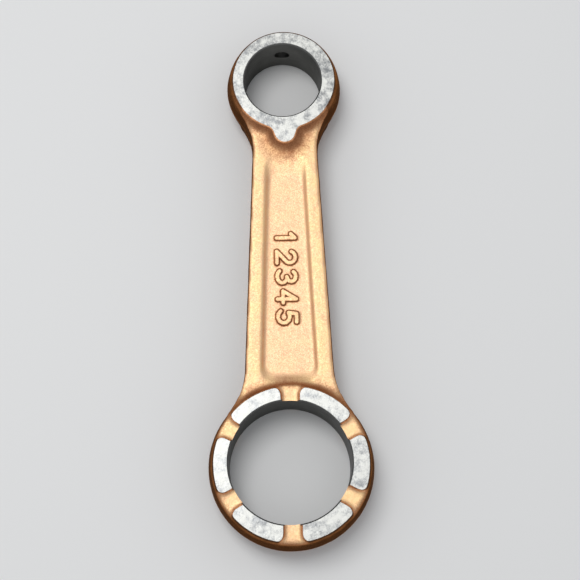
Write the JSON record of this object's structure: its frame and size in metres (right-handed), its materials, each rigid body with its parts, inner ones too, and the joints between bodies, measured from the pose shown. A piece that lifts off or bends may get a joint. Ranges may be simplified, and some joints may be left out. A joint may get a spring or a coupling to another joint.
{
  "type": "connecting rod",
  "caption": "One-piece forged connecting rod with an I-section shank, a large plain bore, a small plain bore and radial oil grooves on the large end's faces.",
  "frame": {"origin": "centre of the bounding box's underside: on the lower machined faces, on the rod's centreline, midway along its length", "axes": "+Y along the rod from the big end to the small end, +Z through its thickness (along both bore axes), +X to the right seen from +Z with +Y up"},
  "size_m": [0.035, 0.1149, 0.0122],
  "materials": {
    "copper_plated_steel": "matte copper plate over forged steel, with the end faces and bores machined back to bare steel"
  },
  "bodies": {
    "root": {"rod_forging": "copper_plated_steel"}
  },
  "joints": []
}
